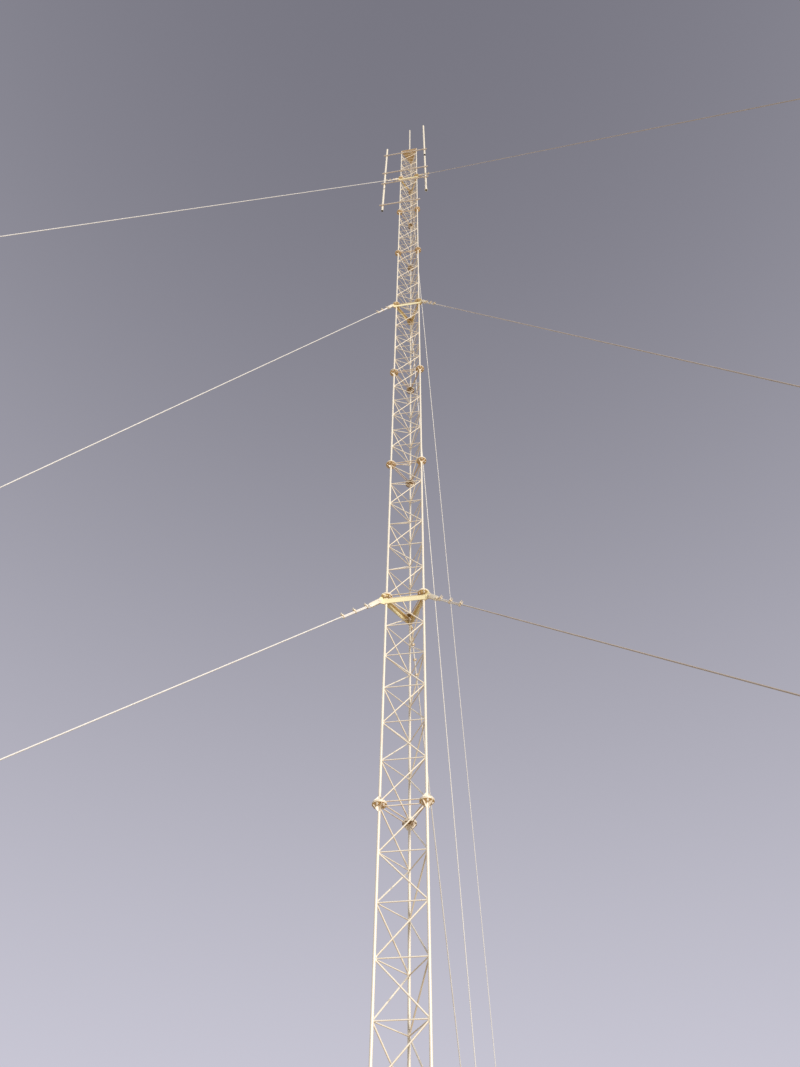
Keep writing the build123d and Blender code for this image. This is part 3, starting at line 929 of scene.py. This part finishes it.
class MAST_OT_flange_bolts(bpy.types.Operator):
    """Bolt the sections to each other, to the stay rings and to the base plate"""

    bl_idname = "mast.flange_bolts"
    bl_label = "Flange bolts"

    def execute(self, context):
        sizes = context.scene.mast_sizes
        thick, size = sizes.flange_thickness, sizes.bolt_diameter
        for number in SECTIONS:
            bm = bmesh.new()
            over_ring = number - 1 in RING_SECTIONS.values()
            for leg in range(3):
                place = Matrix.Translation(leg_point(leg, section_bottom(number), sizes))
                for angle in (45, 120, 240, 315):
                    out = shift(sizes.bolt_radius, 0, thick)
                    spot = place @ turned(LEG_TURNS[leg] + angle) @ out
                    if number == 1:
                        nut_on_stud(bm, spot, size)
                    else:
                        # The two outer bolts at a ring pass through its corner plate too
                        plates = 3 if over_ring and angle in (45, 315) else 2
                        bolt(bm, spot, size, plates * thick)
            add_piece(bm, f"joint_{number - 1:02d}_bolts", "bolt")
        return {"FINISHED"}


class MAST_OT_stay_rings(bpy.types.Operator):
    """Build the three rings that hold the stays"""

    bl_idname = "mast.stay_rings"
    bl_label = "Stay rings"

    def execute(self, context):
        sizes, stays = context.scene.mast_sizes, context.scene.mast_stays
        for level, section in RING_SECTIONS.items():
            node = f"{level}_stay_ring"
            add_piece(node_shape(node), f"{node}_steel", "ring", (node,))
            bm = bmesh.new()
            for leg in range(3):
                corner = leg_place(leg, section_top(section), sizes)
                for y in (-LUG_WELD_OUT, LUG_WELD_OUT):
                    bead(bm, corner @ shift(0.0485, y, -0.0255), 0.06, 0.007)
                    down_lug = corner @ shift(0.0465, y, -0.094) @ turned(45) @ ALONG_X
                    slab(bm, down_lug, box_outline(0.076, 0.007), 0.007, 0.0015)
            add_piece(bm, f"{node}_welds", "ring")
        return {"FINISHED"}


def rope_clip(bm, matrix, stays):
    """A clip over two ropes, the frame's X along them: its U round the lower one, its nuts up."""
    rope, gap = stays.rope_diameter, rope_gap(stays)
    bar = rope * 0.65
    half = rope / 2 + bar / 2 + 0.0002
    saddle_low, saddle_high = rope * 0.3, rope * 1.05
    across_ropes = matrix @ shift(z=-gap) @ turned(90) @ UPRIGHT
    bent_bar(bm, across_ropes, half, gap + saddle_high + 0.032, bar / 2, 8)
    saddle = matrix @ shift(z=(saddle_low + saddle_high) / 2)
    slab(bm, saddle, box_outline(0.03, 2 * half + bar + 0.01), saddle_high - saddle_low, 0.003, 2)
    for side in (-1, 1):
        hexagon(bm, matrix @ shift(0, side * half, saddle_high), 0.0, bar * 0.8, bar * 1.65)


def rope_shape(span, stays):
    """A stay's rope with a loop at each end, along X from the ring's pin to the anchor's.

    Its tail lies below it at the head, and beside it at the foot. The strands are modelled as far
    as the tails reach, and left to the material between.
    """
    bm = bmesh.new()
    radius, gap, lay = stays.rope_diameter / 2, rope_gap(stays), stays.lay
    strands = radius * CROWN, radius * GROOVE
    loop = stays.loop_radius
    head_x, foot_x = stays.thimble_reach, span - stays.eye_reach - loop
    tail_x, foot_tail = head_x + stays.tail, foot_x - stays.tail

    def at(x, z):
        return Vector((x, 0, z))

    def foot_at(x, y):
        return Vector((x, y, 0))

    bar = Bar(bm, at(tail_x, -gap), Vector((-1, 0, 0)), radius, 12)
    bar.size(*strands)
    bar.laid(at(head_x + DRAWN_IN, -gap), lay)
    bar.to(at(head_x, -gap / 2 - loop))
    bar.spin(at(head_x, -gap / 2), Vector((0, 1, 0)), math.pi, 12)
    bar.to(at(head_x + DRAWN_IN, 0.0))
    bar.laid(at(tail_x + PAST_TAIL, 0.0), lay)
    bar.to(at(tail_x + PAST_TAIL + 0.002, 0.0), radius)
    bar.to(foot_at(foot_tail - PAST_TAIL - 0.002, 0.0), radius, lay)
    bar.to(foot_at(foot_tail - PAST_TAIL, 0.0))
    bar.size(*strands)
    bar.laid(foot_at(foot_x - DRAWN_IN, 0.0), lay)
    bar.to(foot_at(foot_x, -gap / 2 + loop))
    bar.spin(foot_at(foot_x, -gap / 2), UP, -math.pi, 12)
    bar.to(foot_at(foot_x - DRAWN_IN, -gap))
    bar.laid(foot_at(foot_tail, -gap), lay)
    bar.close()
    return bm


def head_fittings(stays):
    """Cheeks, pins, a thimble and clips, which hold a stay to its ring. X runs down the stay."""
    bm = bmesh.new()
    ring_pin = UPRIGHT
    low = -rope_gap(stays) / 2
    thimble_pin = UPRIGHT @ shift(stays.thimble_reach, low)
    outline = link_outline((0.0, 0.0), 0.033, (stays.thimble_reach, low), 0.032)
    for side in (-1, 1):
        slab(bm, UPRIGHT @ shift(z=side * 0.0118), outline, 0.0062, 0.0012, 2)
    for place, size in ((ring_pin, stays.ring_pin), (thimble_pin, stays.thimble_pin)):
        headed_pin(bm, place, size, -0.02, 0.024, -0.021, size * 0.75, size * 0.45)
    drum(bm, thimble_pin, -0.008, 0.008, stays.loop_radius - stays.rope_diameter / 2, sides=20)
    for along in clip_places(stays):
        rope_clip(bm, shift(stays.thimble_reach + along), stays)
    return bm


class MAST_OT_stays(bpy.types.Operator):
    """Build the nine wire stays with the fittings at their heads"""

    bl_idname = "mast.stays"
    bl_label = "Wire stays"

    def execute(self, context):
        sizes, stays = context.scene.mast_sizes, context.scene.mast_stays
        for level in RING_SECTIONS:
            head, foot = stay_ends(level, sizes, stays)
            span = (foot - head).length
            down_stay = axes(head, foot - head, Vector((0, 1, 0)).cross(head - foot))
            for side, angle in LEG_ANGLES.items():
                node = f"{level}_stay_{side}"
                place = turned(angle) @ down_stay
                rope, head_end = rope_shape(span, stays), head_fittings(stays)
                add_piece(rope, f"{node}_rope", "rope", (node,), place)
                add_piece(head_end, f"{node}_head", "fitting", (), place)
        return {"FINISHED"}


def turnbuckle_jaw(bm):
    """The fork at a turnbuckle's foot, about the anchor's pin."""
    cheek = link_outline((0.0, 0.0), 0.027, (0.055, 0.0), 0.022)
    for side in (-1, 1):
        slab(bm, UPRIGHT @ shift(z=side * 0.01075), cheek, 0.0085, 0.0016, 2)
    upper_edge = [(0.045, 0.024), (0.062, 0.023), (0.095, 0.013)]
    neck = [(x, -z) for x, z in upper_edge] + upper_edge[::-1]
    slab(bm, UPRIGHT, neck, 0.03, 0.004, 2)
    headed_pin(bm, UPRIGHT, 0.02, -0.022, 0.026, -0.022, 0.0155, 0.0094)


def turnbuckle_barrel(bm, stays):
    """The open barrel with a screw into each end and a lock nut on each screw."""
    middle, half = stays.barrel_middle, stays.barrel_length / 2
    for start, end in (
        (0.09, middle - half + 0.06),
        (middle + half - 0.06, stays.eye_reach - 0.02),
    ):
        threaded(bm, Vector((start, 0, 0)), Vector((end, 0, 0)), stays.screw_diameter / 2)
    for side in (-1, 1):
        slab(bm, UPRIGHT @ shift(middle, side * 0.0205), box_outline(0.27, 0.015), 0.022, 0.0045, 2)
        end_block = UPRIGHT @ shift(middle + side * (half - 0.021))
        slab(bm, end_block, box_outline(0.042, 0.054), 0.03, 0.007, 3)
        inner, outer = sorted((-side * 0.001, side * 0.009))
        hexagon(bm, shift(middle + side * (half + 0.001)) @ ALONG_X, inner, outer, 0.027)


def turnbuckle_shape(stays):
    """A turnbuckle along X from the anchor's pin, with the stay's foot clips beyond its eye."""
    bm = bmesh.new()
    turnbuckle_jaw(bm)
    turnbuckle_barrel(bm, stays)
    eye(bm, shift(stays.eye_reach) @ UPRIGHT, 0.02, 0.0068)
    loop_x = stays.eye_reach + stays.loop_radius
    thimble_r = stays.loop_radius - stays.rope_diameter * 0.4
    eye(bm, shift(loop_x, -rope_gap(stays) / 2), thimble_r, 0.0032)
    for along in clip_places(stays):
        rope_clip(bm, shift(loop_x + along) @ Matrix.Rotation(-math.pi / 2, 4, "X"), stays)
    return bm


class MAST_OT_turnbuckles(bpy.types.Operator):
    """Build the nine turnbuckles at the feet of the stays"""

    bl_idname = "mast.turnbuckles"
    bl_label = "Turnbuckles"

    def execute(self, context):
        sizes, stays = context.scene.mast_sizes, context.scene.mast_stays
        for level in RING_SECTIONS:
            head, foot = stay_ends(level, sizes, stays)
            up_stay = axes(foot, head - foot, (head - foot).cross(Vector((0, 1, 0))))
            for side, angle in LEG_ANGLES.items():
                node = f"{level}_turnbuckle_{side}"
                place = turned(angle) @ up_stay
                bm = turnbuckle_shape(stays)
                add_piece(bm, f"{node}_steel", "fitting", (node,), place)
        return {"FINISHED"}


class MAST_OT_anchors(bpy.types.Operator):
    """Build the six ground anchors and their bolts"""

    bl_idname = "mast.anchors"
    bl_label = "Ground anchors"

    def execute(self, context):
        sizes, stays = context.scene.mast_sizes, context.scene.mast_stays
        for kind, pins in ANCHOR_PINS.items():
            middle = sum(pins) / len(pins)
            for side, angle in LEG_ANGLES.items():
                node = f"{kind}_anchor_{side}"
                add_piece(node_shape(node, 0.002), f"{node}_steel", "plate", (node,))
                bm = bmesh.new()
                for x, y in corners(0.2, 0.105):
                    spot = shift(middle + x, y, sizes.plate_thickness)
                    nut_on_stud(bm, spot, stays.anchor_bolt, 2.4, 1.15)
                for y in (-LUG_WELD_OUT, LUG_WELD_OUT):
                    weld = shift(middle, y, sizes.plate_thickness + 0.0015)
                    bead(bm, weld, 0.325, 0.008, 0.0016)
                add_piece(bm, f"{node}_bolts", "bolt", (), turned(angle))
        return {"FINISHED"}


class MAST_OT_poles(bpy.types.Operator):
    """Build the side poles and the top pole"""

    bl_idname = "mast.poles"
    bl_label = "Poles"

    def execute(self, context):
        poles = context.scene.mast_poles
        outside = poles.pole_diameter / 2
        for node in ("left_pole", "right_pole_lower", "right_pole_upper"):
            low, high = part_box(node)
            centre = (low + high) / 2
            bm = bmesh.new()
            place = shift(centre.x, centre.y)
            pipe(bm, place, low.z, high.z, outside, outside - poles.pole_wall)
            if node == "right_pole_lower":
                collar_r = poles.collar_diameter / 2
                pipe(bm, place, low.z, low.z + poles.collar_height, collar_r, outside)
                for angle in (30, 150, 270):
                    spot = shift(collar_r - 0.001, 0, low.z + poles.collar_height / 2)
                    hexagon(bm, place @ turned(angle) @ spot @ ALONG_X, 0.0, 0.005, 0.013)
            add_piece(bm, f"{node}_pipe", "pole", (node,))
        low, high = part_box("top_pole")
        bm = bmesh.new()
        radius, foot_t = poles.top_pole_diameter / 2, poles.foot_thickness
        bar = Bar(bm, Vector((0, 0, low.z)), UP, radius, 24)
        for drop, reach in ((0.012, 1.0), (0.006, 0.93), (0.0018, 0.7), (0.0, 0.35)):
            bar.to(Vector((0, 0, high.z - drop)), radius * reach)
        bar.close()
        foot = shift(z=low.z)
        square = box_outline(poles.foot_width, poles.foot_width)
        slab(bm, foot @ shift(z=foot_t / 2), square, foot_t, 0.0014, 2)
        drum(bm, foot, foot_t, foot_t + 0.008, radius + 0.008, radius, 24)
        for x, y in corners(0.043, 0.043):
            bolt(bm, foot @ shift(x, y, foot_t), poles.foot_bolt, 2 * foot_t)
        add_piece(bm, "top_pole_pipe", "pole", ("top_pole",))
        return {"FINISHED"}


class MAST_OT_cross_arms(bpy.types.Operator):
    """Build the cross-arms and the U-bolts that hold the side poles and the legs to them"""

    bl_idname = "mast.cross_arms"
    bl_label = "Cross-arms"

    def execute(self, context):
        sizes, poles = context.scene.mast_sizes, context.scene.mast_poles
        for node in ("left_pole_arms", "right_pole_arms"):
            add_piece(node_shape(node, 0.0015), f"{node}_steel", "arm", (node,))
        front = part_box("right_pole_arms")[0].y
        pole_y = sum(corner.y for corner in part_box("left_pole")) / 2
        leg_y, half_face = leg_point(0, 0.0, sizes).y, sizes.leg_spacing / 2
        size, pole_r, leg_r = poles.u_bolt, poles.pole_diameter / 2, sizes.leg_diameter / 2
        bm = bmesh.new()
        # The lowest arm doesn't reach the right pole
        for x, y, radius, bays in (
            (-half_face - poles.left_standoff, pole_y, pole_r, ARM_BAYS),
            (-half_face, leg_y, leg_r, ARM_BAYS),
            (half_face, leg_y, leg_r, ARM_BAYS),
            (half_face + poles.right_standoff, pole_y, pole_r, ARM_BAYS[1:]),
        ):
            for section, bay in bays:
                height = section_bottom(section) + sizes.end_brace + (bay - 0.5) * bay_height(sizes)
                u_bolt(bm, shift(x, y, height) @ turned(180), radius + size / 2, y - front, size)
        add_piece(bm, "cross_arm_u_bolts", "bolt")
        return {"FINISHED"}


class MAST_OT_ends(bpy.types.Operator):
    """Build the base plate with its foundation bolts, and the top plate with its ribs"""

    bl_idname = "mast.ends"
    bl_label = "Base and top plates"

    def execute(self, context):
        sizes = context.scene.mast_sizes
        bm = node_shape("base_plate", 0.002)
        add_piece(bm, "base_plate_steel", "plate", ("base_plate",))
        bm = bmesh.new()
        for angle in LEG_TURNS:
            spot = turned(angle) @ shift(sizes.foundation_radius, 0, sizes.plate_thickness)
            nut_on_stud(bm, spot, sizes.foundation_bolt, 2.2, 1.05)
        add_piece(bm, "foundation_bolts", "bolt")

        bm = node_shape("top_plate")
        add_piece(bm, "top_plate_steel", "top", ("top_plate",))
        bm = bmesh.new()
        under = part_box("top_plate")[0].z
        leg_r, circle = sizes.leg_diameter / 2, leg_circle(sizes)
        for y in RIB_PLACES:
            half = sizes.leg_spacing / 2 * (circle - y) / (circle * 1.5) - 0.012
            rib = shift(0, y, under - sizes.rib_depth / 2) @ UPRIGHT
            slab(bm, rib, box_outline(2 * half, sizes.rib_depth), sizes.rib_thickness)
        for leg in range(3):
            place = Matrix.Translation(leg_point(leg, under, sizes)) @ UPSIDE_DOWN
            drum(bm, place, 0.0, sizes.weld, leg_r + sizes.weld, leg_r, 20)
        add_piece(bm, "top_plate_ribs", "top")
        return {"FINISHED"}


def camera_place():
    """The photo's point of view, at the foot of the mast, looking up."""
    yaw, pitch, roll = (math.radians(angle) for angle in CAMERA_ANGLES)
    ahead = Vector((math.sin(yaw), math.cos(yaw), 0))
    level = Vector((math.cos(yaw), -math.sin(yaw), 0))
    forward = math.cos(pitch) * ahead + math.sin(pitch) * UP
    above = level.cross(forward)
    right = math.cos(roll) * level + math.sin(roll) * above
    top = math.cos(roll) * above - math.sin(roll) * level
    return Matrix.Translation(CAMERA_POINT) @ Matrix((right, top, -forward)).transposed().to_4x4()


class MAST_OT_stage(bpy.types.Operator):
    """Set the floor, the backdrop, the lights and the camera"""

    bl_idname = "mast.stage"
    bl_label = "Stage"

    def execute(self, context):
        scene, looks = context.scene, context.scene.mast_finishes
        bm = bmesh.new()
        disc = {"cap_ends": True, "segments": 128, "radius": FLOOR_RADIUS}
        bmesh.ops.create_circle(bm, matrix=shift(z=-0.001), **disc)
        mesh = bpy.data.meshes.new("floor")
        bm.to_mesh(mesh)
        bm.free()
        mesh.materials.append(floor_paint(looks.floor, looks.ground_light))
        floor = bpy.data.objects.new("floor", mesh)
        scene.collection.objects.link(floor)

        scene.world = bpy.data.worlds.new("backdrop")
        backdrop(scene.world, looks)
        for name, toward, strength, spread, tint in LAMPS:
            light = bpy.data.lights.new(name, "SUN")
            light.energy = strength
            light.angle = spread
            light.color = tint
            lamp = bpy.data.objects.new(name, light)
            lamp.rotation_euler = Vector(toward).to_track_quat("-Z", "Y").to_euler()
            scene.collection.objects.link(lamp)

        camera = bpy.data.objects.new("camera", bpy.data.cameras.new("camera"))
        camera.matrix_world = camera_place()
        camera.data.sensor_width = 36.0
        camera.data.lens = LENS
        camera.data.clip_end = 500.0
        scene.collection.objects.link(camera)
        scene.camera = camera
        scene.view_settings.view_transform = "Standard"
        return {"FINISHED"}


OPERATORS = (
    MAST_OT_sections,
    MAST_OT_flange_bolts,
    MAST_OT_stay_rings,
    MAST_OT_stays,
    MAST_OT_turnbuckles,
    MAST_OT_anchors,
    MAST_OT_poles,
    MAST_OT_cross_arms,
    MAST_OT_ends,
    MAST_OT_stage,
)


class MAST_PT_panel(bpy.types.Panel):
    """The mast's sizes, finishes and pieces"""

    bl_idname = "MAST_PT_panel"
    bl_label = "Guyed lattice mast"
    bl_space_type = "VIEW_3D"
    bl_region_type = "UI"
    bl_category = "Mast"

    def draw(self, context):
        for group in ("mast_sizes", "mast_stays", "mast_poles", "mast_finishes"):
            settings = getattr(context.scene, group)
            box = self.layout.box()
            for name in settings.__annotations__:
                box.prop(settings, name)
        for operator in OPERATORS:
            self.layout.operator(operator.bl_idname)


GROUPS = {
    "mast_sizes": MastSizes,
    "mast_stays": StaySizes,
    "mast_poles": PoleSizes,
    "mast_finishes": Finishes,
}


def register():
    for item in (*GROUPS.values(), *OPERATORS, MAST_PT_panel):
        bpy.utils.register_class(item)
    for name, group in GROUPS.items():
        setattr(bpy.types.Scene, name, PointerProperty(type=group))


def unregister():
    for name in GROUPS:
        delattr(bpy.types.Scene, name)
    for item in (MAST_PT_panel, *reversed(OPERATORS), *GROUPS.values()):
        bpy.utils.unregister_class(item)


def main():
    register()
    make_finishes(bpy.context.scene.mast_finishes)
    for operator in OPERATORS:
        group, name = operator.bl_idname.split(".")
        getattr(getattr(bpy.ops, group), name)()


if __name__ == "__main__":
    main()
